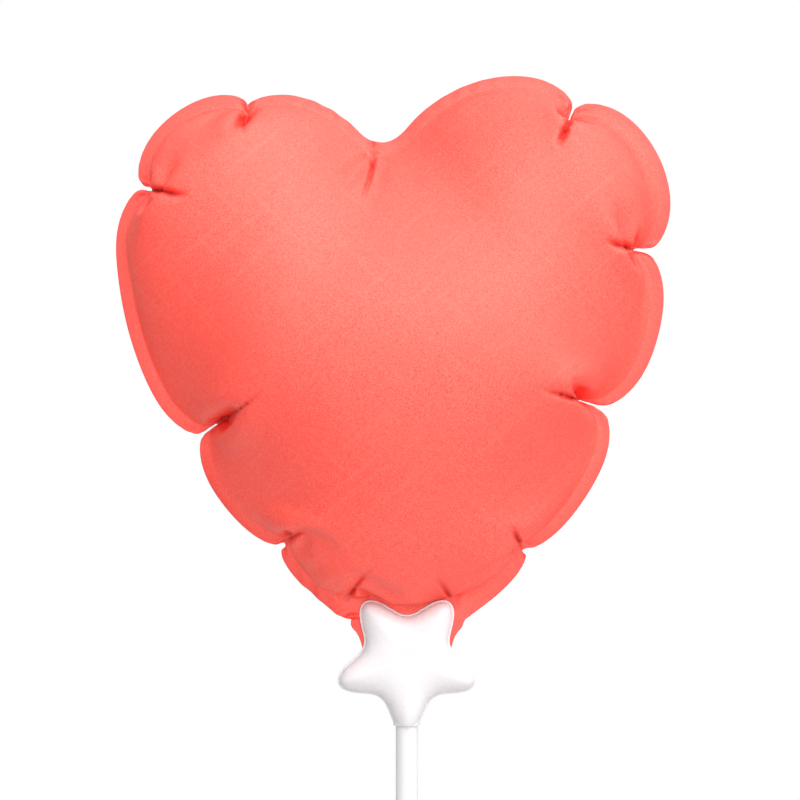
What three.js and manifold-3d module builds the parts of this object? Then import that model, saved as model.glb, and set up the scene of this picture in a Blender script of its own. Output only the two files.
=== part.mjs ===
// Heart-shaped film balloon on a drinking-straw stick, held by a two-part star clip.
// Millimetres. +Z runs up the stick, -Y is the front, and the origin is the centre of the stick's lower end.
import * as THREE from "three";
import { mergeVertices } from "three/addons/utils/BufferGeometryUtils.js";
import Module from "manifold-3d";

const wasm = await Module();
wasm.setup();

// Stick: a plain drinking straw.
const STICK_RADIUS = 2.1;
const STICK_WALL = 0.35;
const STICK_LENGTH = 200;
const STICK_IN_CLIP = 15.3;

// Star clip: a rounded five-pointed star, one arm pointing down and cut off square where the stick enters.
const STAR_MEAN_RADIUS = 10.93;
const STAR_ARM_WAVE = 2.52;
const STAR_TIP_WAVE = 0.32;
const STAR_STEPS = 70;
const STAR_FOOT_DROP = 12.3;
const STAR_HEIGHT = 4.2;
const STAR_WALL = 0.9;
const STAR_LIP = 0.35;
const STAR_ROLL = 4.5;
const PARTING_GAP = 0.22;
const LIP_THICKNESS = 0.5;
const COLLAR_WALL = 0.4;
const BORE_CLEARANCE = 0.05;
const FOOT_Z = STICK_LENGTH - STICK_IN_CLIP;
const STAR_Z = FOOT_Z + STAR_FOOT_DROP;

// Snap pegs of the rear half and their sockets in the front half, measured from the star's centre.
const PEG_RADIUS = 0.8;
const PEG_REACH = 1.8;
const SOCKET_RADIUS = 0.85;
const SOCKET_WALL = 0.75;
const PEG_PLACES = [
  [-10, -3.3],
  [10, -3.3],
  [-4.6, -5.3],
  [4.6, -5.3],
];

// Ribs inside each half. Cradles carry the stick, the saddle clears film and stick, pinch ribs close the neck.
const RIB_THICKNESS = 0.8;
const CRADLE_DROPS = [-9.2, -6.6];
const SADDLE_DROP = 0.4;
const PINCH_RISES = [6.9];
const PINCH_FACE = 0.5;
const SADDLE_HALF_WIDTH = 4.6;
const SADDLE_DEPTH = 3.1;

// Heart: two lobe arcs joined by a small valley arc, each running into a long side arc. Its base point sits
// above the star's centre, and the whole heart leans a little to the left.
const HEART_BASE_RISE = 8.3;
const HEART_SHIFT = 0.9;
const HEART_LEAN = THREE.MathUtils.degToRad(2.9);
const HEART_CENTRE = 53;
const LOBE = { u: 25, v: 73.6, radius: 27.9 };
const VALLEY_RADIUS = 5.7;
const SIDE_RADIUS = 100.4;
const SIDE_JOIN = THREE.MathUtils.degToRad(-6.3);
const HEART_STEPS = 90;
const BULGE = 26;
const DOME_RINGS = [0.24, 0.47, 0.67, 0.82, 0.92, 0.98, 1];
const DOME_FULLNESS = 2.2;
const SEAM_WIDTH = 2.85;
const FILM = 0.15;
const FILM_HALF_GAP = 0.02;
const DOME_FLOOR_RISE = 12.6;
const NECK_JOIN_RISE = 9.2;

// Puckers round the edge: direction from the heart's centre in degrees, and depth as a share of the radius.
const PUCKERS = [
  [16, 0.08],
  [49.5, 0.1],
  [120.5, 0.08],
  [148, 0.07],
  [204, 0.07],
  [237, 0.05],
  [301, 0.03],
  [338, 0.075],
];
const PUCKER_WIDTH = 3.4;
const PUCKER_FADE = 5;

// Neck of the balloon, below the heart.
const NECK_TOP_RISE = 11.6;
const NECK_TOP_HALF = 10.6;
const NECK_END_DROP = -3;
const NECK_END_HALF = 7.2;
const TENT_HEIGHT = 2.75;
const TENT_SPREAD = 2.9;
const TENT_FULL_RISE = 3.4;
const TENT_GONE_RISE = 6.2;

// Valve: two thin strips inside the neck, one each side of the stick.
const VALVE_FILM = 0.1;
const VALVE_HALF_GAP = 0.03;
const VALVE_HALF_WIDTH = 4.5;
const VALVE_RADIUS = 2.2;
const VALVE_TOP_RISE = 3.3;

const material = (color, roughness) => new THREE.MeshStandardMaterial({ color, roughness, metalness: 0 });
const filmMaterial = material(0xf0625a, 0.6);
const clipMaterial = material(0xfaf6f7, 0.25);
const stickMaterial = material(0xf7f3f5, 0.35);
const valveMaterial = material(0xf2e6e4, 0.4);

// --- solids and booleans -------------------------------------------------------------------------------

// A closed geometry as a manifold-3d solid.
function solid(geometry) {
  const bare = geometry.index ? geometry.toNonIndexed() : geometry.clone();
  bare.deleteAttribute("normal");
  bare.deleteAttribute("uv");
  const merged = mergeVertices(bare, 1e-4);
  return new wasm.Manifold(
    new wasm.Mesh({
      numProp: 3,
      vertProperties: merged.attributes.position.array,
      triVerts: new Uint32Array(merged.index.array),
    }),
  );
}

// A manifold-3d solid back as a geometry.
function geometryOf(manifold) {
  const mesh = manifold.getMesh();
  const geometry = new THREE.BufferGeometry();
  geometry.setAttribute("position", new THREE.BufferAttribute(mesh.vertProperties, 3));
  geometry.setIndex(new THREE.BufferAttribute(mesh.triVerts, 1));
  geometry.computeVertexNormals();
  return geometry;
}

function geometryFrom(points, triangles) {
  const geometry = new THREE.BufferGeometry();
  geometry.setAttribute("position", new THREE.Float32BufferAttribute(points.flat(), 3));
  geometry.setIndex(triangles.flat());
  return geometry;
}

// The part's front half turned into its back half: mirrored in the XZ plane, faces kept outwards.
function mirroredToBack(geometry) {
  const mirrored = geometry.toNonIndexed().scale(1, -1, 1);
  const position = mirrored.attributes.position;
  for (let i = 0; i < position.count; i += 3) {
    const first = new THREE.Vector3().fromBufferAttribute(position, i);
    const second = new THREE.Vector3().fromBufferAttribute(position, i + 1);
    position.setXYZ(i, second.x, second.y, second.z);
    position.setXYZ(i + 1, first.x, first.y, first.z);
  }
  return mirrored;
}

// Triangles of a disc of rings round a centre point: point 0 is the centre, and each ring has count points.
function discTriangles(ringCount, count) {
  const triangles = [];
  const at = (ring, k) => 1 + ring * count + (k % count);
  for (let k = 0; k < count; k++) {
    triangles.push([0, at(0, k), at(0, k + 1)]);
    for (let ring = 0; ring + 1 < ringCount; ring++) {
      triangles.push([at(ring, k), at(ring + 1, k), at(ring + 1, k + 1)]);
      triangles.push([at(ring, k), at(ring + 1, k + 1), at(ring, k + 1)]);
    }
  }
  return triangles;
}

// Triangles of a rectangular grid of points, row by row.
function gridTriangles(rows, columns) {
  const triangles = [];
  for (let row = 0; row + 1 < rows; row++) {
    for (let column = 0; column + 1 < columns; column++) {
      const a = row * columns + column;
      triangles.push([a, a + 1, a + columns + 1], [a, a + columns + 1, a + columns]);
    }
  }
  return triangles;
}

// A surface facing -Y given a thickness outwards along its own normals, closed round its edge.
function thickened(points, triangles, thickness) {
  const surface = geometryFrom(points, triangles);
  surface.computeVertexNormals();
  const normals = surface.attributes.normal;
  const outer = points.map(([x, y, z], i) => [
    x + normals.getX(i) * thickness,
    y + normals.getY(i) * thickness,
    z + normals.getZ(i) * thickness,
  ]);
  const shift = points.length;
  const faces = triangles.map(([a, b, c]) => [a + shift, b + shift, c + shift]);
  const used = new Set(triangles.flatMap(([a, b, c]) => [`${a},${b}`, `${b},${c}`, `${c},${a}`]));
  for (const [a, b, c] of triangles) {
    faces.push([a, c, b]);
    for (const [from, to] of [[a, b], [b, c], [c, a]]) {
      if (!used.has(`${to},${from}`)) faces.push([from, to, to + shift], [from, to + shift, from + shift]);
    }
  }
  return geometryFrom([...points, ...outer], faces);
}

// --- the star clip ---------------------------------------------------------------------------------------

// Radius of the star's outline. The angle is measured from straight down.
function starRadius(angle) {
  const waves = STAR_ARM_WAVE * Math.cos(5 * angle) + STAR_TIP_WAVE * Math.cos(10 * angle);
  return STAR_MEAN_RADIUS + waves;
}

const STAR_OUTLINE = Array.from({ length: STAR_STEPS }, (_, k) => {
  const angle = (2 * Math.PI * k) / STAR_STEPS;
  return new THREE.Vector2(Math.sin(angle), -Math.cos(angle)).multiplyScalar(starRadius(angle));
});

function distanceToStarEdge(point) {
  const closest = new THREE.Vector3();
  const target = new THREE.Vector3(point.x, point.y, 0);
  return Math.min(
    ...STAR_OUTLINE.map((from, k) => {
      const to = STAR_OUTLINE[(k + 1) % STAR_STEPS];
      const edge = new THREE.Line3(new THREE.Vector3(from.x, from.y, 0), new THREE.Vector3(to.x, to.y, 0));
      return edge.closestPointToPoint(target, true, closest).distanceTo(target);
    }),
  );
}

// Height of the star's outside over the parting plane, rolling over from the flat lip to the plateau.
function starHeight(distance) {
  const climb = Math.min(Math.max(distance - STAR_LIP, 0) / STAR_ROLL, 1);
  const lip = PARTING_GAP + LIP_THICKNESS;
  return lip + (STAR_HEIGHT - lip) * Math.sqrt(1 - (1 - climb) ** 2);
}

// A solid under a domed front, on the star's outline drawn in by inset and lowered by sunk.
function starDome(inset, sunk, base) {
  const insets = [0.9, 0.62, 0.36].map((share) => (radius) => radius * (1 - share));
  insets.push(...[2.4, 1.3, 0.75, STAR_LIP, 0].map((less) => (radius) => radius - less));
  const points = [[0, -(STAR_HEIGHT - sunk), STAR_Z]];
  for (const ringRadius of insets) {
    for (const edge of STAR_OUTLINE) {
      const whole = edge.length() - inset;
      const at = edge.clone().setLength(ringRadius(whole));
      points.push([at.x, -(starHeight(distanceToStarEdge(at)) - sunk), STAR_Z + at.y]);
    }
  }
  const front = discTriangles(insets.length, STAR_STEPS);
  const rim = points.length - STAR_STEPS;
  const floor = points.length;
  for (let k = 0; k < STAR_STEPS; k++) points.push([points[rim + k][0], -base, points[rim + k][2]]);
  points.push([0, -base, STAR_Z]);
  for (let k = 0; k < STAR_STEPS; k++) {
    const next = (k + 1) % STAR_STEPS;
    front.push([rim + k, floor + k, floor + next], [rim + k, floor + next, rim + next]);
    front.push([floor + k, floor + STAR_STEPS, floor + next]);
  }
  return solid(geometryFrom(points, front));
}

function block(width, depth, height, x, y, z) {
  return solid(new THREE.BoxGeometry(width, depth, height).translate(x, y, z));
}

function rodAlongZ(radius, low, high) {
  const rod = new THREE.CylinderGeometry(radius, radius, high - low, 32).rotateX(Math.PI / 2);
  return solid(rod.translate(0, 0, (low + high) / 2));
}

function rodAlongY(radius, back, front, x, z) {
  const rod = new THREE.CylinderGeometry(radius, radius, front - back, 16);
  return solid(rod.translate(x, -(back + front) / 2, z));
}

// The passage that the neck film and the stick take through a saddle rib.
function saddleChannel(low, high) {
  const oval = new THREE.Shape().absellipse(0, 0, SADDLE_HALF_WIDTH, SADDLE_DEPTH, 0, 2 * Math.PI);
  const settings = { depth: high - low, bevelEnabled: false, curveSegments: 12 };
  return solid(new THREE.ExtrudeGeometry(oval, settings).translate(0, 0, low));
}

function ribAcross(rise, face) {
  const depth = STAR_HEIGHT - face;
  return block(2 * STAR_MEAN_RADIUS, depth, RIB_THICKNESS, 0, -(face + depth / 2), STAR_Z + rise);
}

// One half of the clip before its pegs or sockets, made as the front half.
function clipShell() {
  const outside = starDome(0, 0, PARTING_GAP);
  const bore = STICK_RADIUS + BORE_CLEARANCE;
  const collarTop = STAR_Z - 5;
  const collar = rodAlongZ(bore + COLLAR_WALL, FOOT_Z, collarTop);
  const behind = block(40, 20, 60, 0, 10 - PARTING_GAP, STAR_Z);
  const body = outside.add(collar.subtract(behind));

  let ribs = ribAcross(SADDLE_DROP, PINCH_FACE).subtract(saddleChannel(STAR_Z - 4, STAR_Z + 4));
  for (const drop of CRADLE_DROPS) ribs = ribs.add(ribAcross(drop, PINCH_FACE));
  for (const rise of PINCH_RISES) ribs = ribs.add(ribAcross(rise, PINCH_FACE));

  const cavity = starDome(STAR_WALL + 0.3, STAR_WALL, 0);
  const hollow = cavity.subtract(ribs).subtract(collar);
  const belowFoot = block(20, 20, 10, 0, 0, FOOT_Z - 5);
  return body
    .subtract(hollow)
    .subtract(rodAlongZ(bore, FOOT_Z - 1, STAR_Z + NECK_END_DROP + 0.4))
    .subtract(belowFoot);
}

// The front half carries the sockets.
function clipFront() {
  const outside = starDome(0.2, 0.1, PARTING_GAP);
  let shell = clipShell();
  for (const [x, rise] of PEG_PLACES) {
    const boss = rodAlongY(SOCKET_RADIUS + SOCKET_WALL, PARTING_GAP, STAR_HEIGHT, x, STAR_Z + rise);
    const hole = rodAlongY(SOCKET_RADIUS, -1, PEG_REACH + 0.4, x, STAR_Z + rise);
    shell = shell.add(boss.intersect(outside)).subtract(hole);
  }
  return geometryOf(shell);
}

// The rear half is the same moulding turned round, with pegs in place of the sockets.
function clipRear() {
  const outside = starDome(0.2, 0.1, PARTING_GAP);
  let shell = clipShell();
  for (const [x, rise] of PEG_PLACES) {
    const root = rodAlongY(PEG_RADIUS, PARTING_GAP, STAR_HEIGHT, x, STAR_Z + rise).intersect(outside);
    shell = shell.add(root).add(rodAlongY(PEG_RADIUS, -PEG_REACH, 1, x, STAR_Z + rise));
  }
  return mirroredToBack(geometryOf(shell));
}

// --- the balloon -----------------------------------------------------------------------------------------

// Where a ray from the heart's centre leaves a circle, as a distance, or 0 if it misses.
function rayThroughCircle(u, v, circle) {
  const along = u * circle.u + v * (circle.v - HEART_CENTRE);
  const offset = circle.u ** 2 + (circle.v - HEART_CENTRE) ** 2 - circle.radius ** 2;
  const root = along ** 2 - offset;
  return root > 0 ? along + Math.sqrt(root) : 0;
}

// Radius of the heart's outline from its centre, without puckers. The angle is from +u towards +v.
function heartRadius(angle) {
  const u = Math.abs(Math.cos(angle));
  const v = Math.sin(angle);
  const reach = SIDE_RADIUS - LOBE.radius;
  const side = {
    u: LOBE.u - reach * Math.cos(SIDE_JOIN),
    v: LOBE.v - reach * Math.sin(SIDE_JOIN),
    radius: SIDE_RADIUS,
  };
  const lobe = rayThroughCircle(u, v, LOBE);
  const lobeAngle = Math.atan2(HEART_CENTRE + lobe * v - LOBE.v, lobe * u - LOBE.u);
  if (lobe === 0 || lobeAngle < SIDE_JOIN) return rayThroughCircle(u, v, side);
  const valley = LOBE.v + Math.sqrt((LOBE.radius + VALLEY_RADIUS) ** 2 - LOBE.u ** 2);
  const touch = (LOBE.u * VALLEY_RADIUS) / (LOBE.radius + VALLEY_RADIUS);
  if (lobe * u > touch) return lobe;
  const along = v * (valley - HEART_CENTRE);
  const offset = (valley - HEART_CENTRE) ** 2 - VALLEY_RADIUS ** 2;
  return along - Math.sqrt(Math.max(along ** 2 - offset, 0));
}

// Share of the radius that the puckers take from the edge at an angle.
function puckerDepth(angle) {
  const degrees = THREE.MathUtils.radToDeg(angle);
  return PUCKERS.reduce((sum, [at, depth]) => {
    const apart = THREE.MathUtils.euclideanModulo(degrees - at + 180, 360) - 180;
    return sum + depth * Math.exp(-((apart / PUCKER_WIDTH) ** 2));
  }, 0);
}

// Centre of the heart, and a point at a distance and angle from it.
const LEAN_RIGHT = new THREE.Vector2(Math.cos(HEART_LEAN), Math.sin(HEART_LEAN));
const LEAN_UP = new THREE.Vector2(-Math.sin(HEART_LEAN), Math.cos(HEART_LEAN));
const BALLOON_CENTRE = new THREE.Vector2(0, STAR_Z + HEART_BASE_RISE)
  .addScaledVector(LEAN_RIGHT, HEART_SHIFT)
  .addScaledVector(LEAN_UP, HEART_CENTRE);

function heartPoint(radius, angle) {
  return BALLOON_CENTRE.clone()
    .addScaledVector(LEAN_RIGHT, radius * Math.cos(angle))
    .addScaledVector(LEAN_UP, radius * Math.sin(angle));
}

// The heart-shaped dish of the front panel: a dome inside the flat welded margin. The puckers fade inwards.
function heartDish() {
  const points = [[BALLOON_CENTRE.x, -(FILM_HALF_GAP + BULGE), BALLOON_CENTRE.y]];
  const edges = Array.from({ length: HEART_STEPS }, (_, k) => {
    const angle = (2 * Math.PI * k) / HEART_STEPS;
    const down = -Math.sin(angle + HEART_LEAN);
    const reachTo = (rise) => (down > 0.1 ? (BALLOON_CENTRE.y - STAR_Z - rise) / down : Infinity);
    const outer = Math.min(heartRadius(angle), reachTo(NECK_JOIN_RISE));
    const inner = Math.min(outer - SEAM_WIDTH, reachTo(DOME_FLOOR_RISE));
    return { angle, outer, inner, drawn: puckerDepth(angle) };
  });
  for (const share of DOME_RINGS) {
    for (const { angle, inner, drawn } of edges) {
      const at = heartPoint(inner * share * (1 - drawn * share ** PUCKER_FADE), angle);
      const fullness = Math.sqrt(1 - share ** DOME_FULLNESS);
      points.push([at.x, -(FILM_HALF_GAP + BULGE * fullness), at.y]);
    }
  }
  for (const { angle, outer, drawn } of edges) {
    const at = heartPoint(outer * (1 - drawn), angle);
    points.push([at.x, -FILM_HALF_GAP, at.y]);
  }
  return thickened(points, discTriangles(DOME_RINGS.length + 1, HEART_STEPS), FILM);
}

// The neck below the heart: flat film that tents over the stick and is pinched flat above its tip.
function neckSheet() {
  const rises = [NECK_END_DROP, 0.5, TENT_FULL_RISE, 4.8, TENT_GONE_RISE, NECK_TOP_RISE];
  const shares = [-1, -0.74, -0.52, -0.4, -0.3, -0.2, -0.1, 0, 0.1, 0.2, 0.3, 0.4, 0.52, 0.74, 1];
  const sunk = 0.01;
  const points = rises.flatMap((rise) => {
    const up = (rise - NECK_END_DROP) / (NECK_TOP_RISE - NECK_END_DROP);
    const half = THREE.MathUtils.lerp(NECK_END_HALF, NECK_TOP_HALF, up);
    const tent = 1 - THREE.MathUtils.smoothstep(rise, TENT_FULL_RISE, TENT_GONE_RISE);
    return shares.map((share) => {
      const x = share * half;
      const lift = TENT_HEIGHT * tent * Math.exp(-((x / TENT_SPREAD) ** 2));
      return [x, -(FILM_HALF_GAP + sunk + lift), STAR_Z + rise];
    });
  });
  return thickened(points, gridTriangles(rises.length, shares.length), FILM - 2 * sunk);
}

function panelFront() {
  return geometryOf(solid(heartDish()).add(solid(neckSheet())));
}

// A valve strip: flat wings with a half-round channel for the stick between them.
function valveFront() {
  const near = -VALVE_HALF_GAP;
  const far = near - VALVE_FILM;
  const inner = VALVE_RADIUS;
  const outer = VALVE_RADIUS + VALVE_FILM;
  const section = new THREE.Shape();
  section.moveTo(-VALVE_HALF_WIDTH, near);
  section.lineTo(-VALVE_HALF_WIDTH, far);
  section.absarc(0, 0, outer, Math.PI + Math.asin(-far / outer), 2 * Math.PI - Math.asin(-far / outer), false);
  section.lineTo(VALVE_HALF_WIDTH, far);
  section.lineTo(VALVE_HALF_WIDTH, near);
  section.absarc(0, 0, inner, 2 * Math.PI - Math.asin(-near / inner), Math.PI + Math.asin(-near / inner), true);
  const length = VALVE_TOP_RISE - NECK_END_DROP;
  const strip = new THREE.ExtrudeGeometry(section, { depth: length, bevelEnabled: false, curveSegments: 14 });
  return geometryOf(solid(strip.translate(0, 0, STAR_Z + NECK_END_DROP)));
}

// --- the stick -------------------------------------------------------------------------------------------

function stick() {
  const bore = STICK_RADIUS - STICK_WALL;
  const profile = [
    [bore, 0],
    [STICK_RADIUS, 0],
    [STICK_RADIUS, STICK_LENGTH],
    [bore, STICK_LENGTH],
    [bore, 0],
  ].map(([radius, z]) => new THREE.Vector2(radius, z));
  return new THREE.LatheGeometry(profile, 32).rotateX(Math.PI / 2);
}

// --- the assembly ----------------------------------------------------------------------------------------

function named(name, geometry, look) {
  const mesh = new THREE.Mesh(geometry, look);
  mesh.name = name;
  return mesh;
}

const frontPanel = panelFront();
const frontValve = valveFront();

const balloonOnStick = new THREE.Group();
balloonOnStick.add(
  named("stick", stick(), stickMaterial),
  named("star_clip_rear", clipRear(), clipMaterial),
  named("star_clip_front", clipFront(), clipMaterial),
  named("balloon_front_panel", frontPanel, filmMaterial),
  named("balloon_back_panel", mirroredToBack(frontPanel), filmMaterial),
  named("valve_film_front", frontValve, valveMaterial),
  named("valve_film_back", mirroredToBack(frontValve), valveMaterial),
);

export default balloonOnStick;
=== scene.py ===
"""Looks of a heart-shaped film balloon held on a straw stick by a two-part star clip.

Lengths are in millimetres until a mesh is made, and in metres for the stage. u runs across the heart and v up
it, from the heart's base point. A rise is a height over the star clip's centre. -Y is the front.
"""

import math

import bmesh
import bpy
import numpy as np
from mathutils import Matrix, Vector
from mathutils.geometry import delaunay_2d_cdt


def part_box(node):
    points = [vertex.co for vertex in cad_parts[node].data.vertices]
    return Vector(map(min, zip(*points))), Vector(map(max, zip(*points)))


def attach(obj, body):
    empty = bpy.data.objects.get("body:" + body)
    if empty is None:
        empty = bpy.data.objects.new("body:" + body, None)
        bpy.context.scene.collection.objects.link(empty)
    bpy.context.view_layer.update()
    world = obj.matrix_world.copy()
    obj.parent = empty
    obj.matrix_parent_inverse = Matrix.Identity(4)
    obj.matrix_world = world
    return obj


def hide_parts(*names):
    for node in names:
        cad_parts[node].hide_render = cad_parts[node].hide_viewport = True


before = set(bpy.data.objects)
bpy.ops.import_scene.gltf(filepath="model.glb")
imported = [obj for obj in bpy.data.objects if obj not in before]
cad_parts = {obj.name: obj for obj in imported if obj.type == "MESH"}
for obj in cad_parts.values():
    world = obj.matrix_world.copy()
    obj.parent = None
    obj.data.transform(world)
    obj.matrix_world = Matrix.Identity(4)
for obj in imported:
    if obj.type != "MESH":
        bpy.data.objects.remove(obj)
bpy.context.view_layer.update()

MM = 0.001
FOOT_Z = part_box("star_clip_front")[0].z / MM
STICK_TOP_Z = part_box("stick")[1].z / MM
STICK_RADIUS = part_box("stick")[1].x / MM
STICK_WALL = 0.35

# Star clip, as the CAD has it, drawn finer.
STAR_FOOT_DROP = 12.3
STAR_Z = FOOT_Z + STAR_FOOT_DROP
STAR_MEAN_RADIUS = 10.93
STAR_ARM_WAVE = 2.52
STAR_TIP_WAVE = 0.32
STAR_HEIGHT = 4.2
STAR_WALL = 0.9
STAR_LIP = 0.35
STAR_ROLL = 4.5
PARTING_GAP = 0.22
LIP_THICKNESS = 0.5
LIP_ROUND = 0.12
COLLAR_WALL = 0.4
BORE_CLEARANCE = 0.05
PEG_PLACES = [(-10, -3.3), (10, -3.3), (-4.6, -5.3), (4.6, -5.3)]
PEG_RADIUS = 0.8
PEG_REACH = 1.8
SOCKET_RADIUS = 0.85
SOCKET_WALL = 0.75
RIB_THICKNESS = 0.8
RIB_RISES = [-9.2, -6.6, 6.9]
SADDLE_RISE = 0.4
SADDLE_HALF_WIDTH = 4.6
SADDLE_DEPTH = 3.1
SADDLE_REACH = 4
PINCH_FACE = 0.5
COLLAR_TOP_DROP = 5
CAVITY_INSET = STAR_WALL + 0.3
BORE_PAST_NECK = 0.4
BOSS_INSET = 0.2
BOSS_SUNK = 0.1
SOCKET_SPARE = 0.4
PEG_CHAMFER = 0.2
BEYOND = 20
FOOT_CUT = 10

# Heart: two lobe arcs joined by a small valley arc, each running into a long side arc.
HEART_BASE_RISE = 8.3
HEART_SHIFT = 0.9
HEART_LEAN = math.radians(2.9)
HEART_CENTRE = 53
LOBE_U = 25
LOBE_V = 73.6
LOBE_RADIUS = 27.9
VALLEY_RADIUS = 5.7
VALLEY_SHIFT = 0.7
VALLEY_HALF_WIDTH = 10
SIDE_RADIUS = 100.4
SIDE_JOIN = math.radians(-6.3)
SEAM_WIDTH = 2.85

# Neck of the balloon, and the valve strips inside it.
NECK_END_RISE = -3
NECK_END_HALF = 7.2
NECK_TOP_HALF = 10.3
PINNED_BELOW_RISE = 6.6
TENT_HEIGHT = 2.75
TENT_SPREAD = 2.9
TENT_FULL_RISE = 3.4
TENT_GONE_RISE = 6.2
VALVE_HALF_WIDTH = 4.5
VALVE_RADIUS = 2.2
VALVE_FILM = 0.1
VALVE_HALF_GAP = 0.03
VALVE_TOP_RISE = 3.3

# Folds that gather the seam as the balloon fills, and the rim from each fold to the next. Angles are in
# degrees round the heart's centre: where the fold meets the rim, and where its tip points. Depth is how far
# the fold reaches in, or out where the rim has a corner instead. Crease is how far a crease runs on from the
# tip. Swell is how much fuller the rim is, peak where along it that is most, and tilt how far its margin
# leans back, in degrees.
FOLD_KEYS = ["rim", "tip", "depth", "crease", "swell", "peak", "tilt"]
FOLD_ROWS = [
    [15.6, 19, 5.2, 4, 2.2, 0.5, 20],
    [50, 48, 6.2, 3.5, 2.0, 0.5, 30],
    [94.5, 93.9, -1.0, 9, 1.7, 0.5, 42],
    [119.2, 122, 2.0, 3, 1.9, 0.4, 12],
    [147, 145, 5.0, 5, 2.0, 0.6, 12],
    [203.5, 202, 6.8, 9, 2.0, 0.56, 40],
    [237.5, 239, 2.2, 3.5, 1.9, 0.6, 34],
    [257, 256.6, -1.4, 8, 0.7, 0.5, 0],
    [280, 280.4, -0.6, 8, 1.4, 0.6, 12],
    [298, 298, 1.2, 3.5, 2.2, 0.42, 16],
    [338.5, 338, 8.6, 6, 2.2, 0.55, 5],
]
FOLDS = [dict(zip(FOLD_KEYS, row)) for row in FOLD_ROWS]
SEAM_DRAWN_IN = 0.9
SLIT_WIDTH = 0.45
SLIT_SHARPNESS = 0.65
SLIT_SHARE = 0.82
DIP_WIDTH = 5
CORNER_WIDTH = 3
CREASE_DEPTH = 3.6
CREASE_WIDTH = 0.42
FORK_DEPTH = 0.5
FORK_WIDTH = 0.9
FORK_SPREAD = math.radians(19)

# How the film is cut and filled.
CUT_SCALE = 1 / 0.83
MESH_STEP = 1.1
MARGIN_RINGS = 3
COARSE_BEYOND = 16
FILL_STEPS = 2200
FILL_PRESSURE = 0.0005
FILL_DAMPING = 0.994
WELD_HALF_THICKNESS = 0.05


# --- meshes ------------------------------------------------------

ROUND_STEPS = 96
PEG_STEPS = 40
SHARP_DEGREES = 32


def smoothstep(value, low, high):
    share = np.clip((value - low) / (high - low), 0, 1)
    return share * share * (3 - 2 * share)


def mesh_piece(name, points, faces):
    """A mesh object from points in millimetres."""
    mesh = bpy.data.meshes.new(name)
    places = [tuple(p) for p in np.asarray(points, float) * MM]
    mesh.from_pydata(places, [], [tuple(map(int, f)) for f in faces])
    piece = bpy.data.objects.new(name, mesh)
    bpy.context.scene.collection.objects.link(piece)
    return piece


def facing_out(piece):
    shape = bmesh.new()
    shape.from_mesh(piece.data)
    bmesh.ops.recalc_face_normals(shape, faces=shape.faces)
    shape.to_mesh(piece.data)
    shape.free()
    return piece


def apply_modifiers(piece):
    bpy.context.view_layer.update()
    evaluated = piece.evaluated_get(bpy.context.evaluated_depsgraph_get())
    applied = bpy.data.meshes.new_from_object(evaluated)
    piece.modifiers.clear()
    old = piece.data
    piece.data = applied
    bpy.data.meshes.remove(old)
    applied.name = piece.name


def combine(piece, tool, operation):
    """Joins or cuts one solid with another, which is used up."""
    modifier = piece.modifiers.new("combine", "BOOLEAN")
    modifier.operation = operation
    modifier.solver = "MANIFOLD"
    modifier.object = tool
    apply_modifiers(piece)
    bpy.data.objects.remove(tool)
    return piece


def shade(piece, sharp_degrees=SHARP_DEGREES):
    """Smooth shading, with the edges sharper than an angle left crisp."""
    piece.data.shade_smooth()
    piece.data.set_sharp_from_angle(angle=math.radians(sharp_degrees))
    return piece


def turned(name, profile, steps, closed=False):
    """A solid of revolution about Z from (radius, height) points. A closed profile makes a tube."""
    points = []
    for radius, height in profile:
        for k in range(steps):
            angle = 2 * math.pi * k / steps
            points.append((radius * math.cos(angle), radius * math.sin(angle), height))
    faces = []
    rows = len(profile)
    for row in range(rows if closed else rows - 1):
        a = row * steps
        b = (row + 1) % rows * steps
        for k in range(steps):
            n = (k + 1) % steps
            faces.append((a + k, a + n, b + n, b + k))
    if not closed:
        faces.append(range(steps - 1, -1, -1))
        faces.append(range((rows - 1) * steps, rows * steps))
    return facing_out(mesh_piece(name, points, faces))


def rod_along_z(radius, low, high, flatten=1.0):
    rod = turned("rod", [(radius, low), (radius, high)], ROUND_STEPS)
    rod.data.transform(Matrix.Diagonal((1, flatten, 1, 1)))
    return rod


def rod_along_y(radius, back, front, x, z, chamfer=0.0):
    profile = [(radius, back), (radius, front - chamfer), (radius - chamfer, front)]
    rod = turned("rod", profile if chamfer else profile[:2], PEG_STEPS)
    rod.data.transform(Matrix.Translation((x * MM, 0, z * MM)) @ Matrix.Rotation(math.pi / 2, 4, "X"))
    return rod


def block(low, high):
    piece = mesh_piece("block", np.zeros((1, 3)), [])
    shape = bmesh.new()
    centre = (Vector(low) + Vector(high)) / 2 * MM
    size = (Vector(high) - Vector(low)) * MM
    bmesh.ops.create_cube(shape, size=1, matrix=Matrix.Translation(centre) @ Matrix.Diagonal((*size, 1)))
    shape.to_mesh(piece.data)
    shape.free()
    return piece


# --- the star clip -----------------------------------------------

STAR_STEPS = 250
STAR_INSETS = [0, 0.04, LIP_ROUND, 0.34, 0.38, 0.44, 0.54, 0.68, 0.86, 1.1, 1.4, 1.8, 2.3, 2.9, 3.6]
STAR_SHARES = [0.88, 0.76, 0.64, 0.52, 0.4, 0.28, 0.16, 0.06]
STAR_SMOOTHING = 14
SMOOTH_FROM = 0.9
SMOOTH_FULLY = 2.2


def star_radius(angle):
    """Radius of the star's outline. The angle is measured from straight down."""
    return STAR_MEAN_RADIUS + STAR_ARM_WAVE * np.cos(5 * angle) + STAR_TIP_WAVE * np.cos(10 * angle)


def distance_to_edge(points, edge):
    along = np.roll(edge, -1, 0) - edge
    offset = points[:, None] - edge[None]
    share = np.clip((offset * along).sum(2) / (along**2).sum(1), 0, 1)
    return np.sqrt(((offset - share[:, :, None] * along) ** 2).sum(2).min(1))


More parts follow.
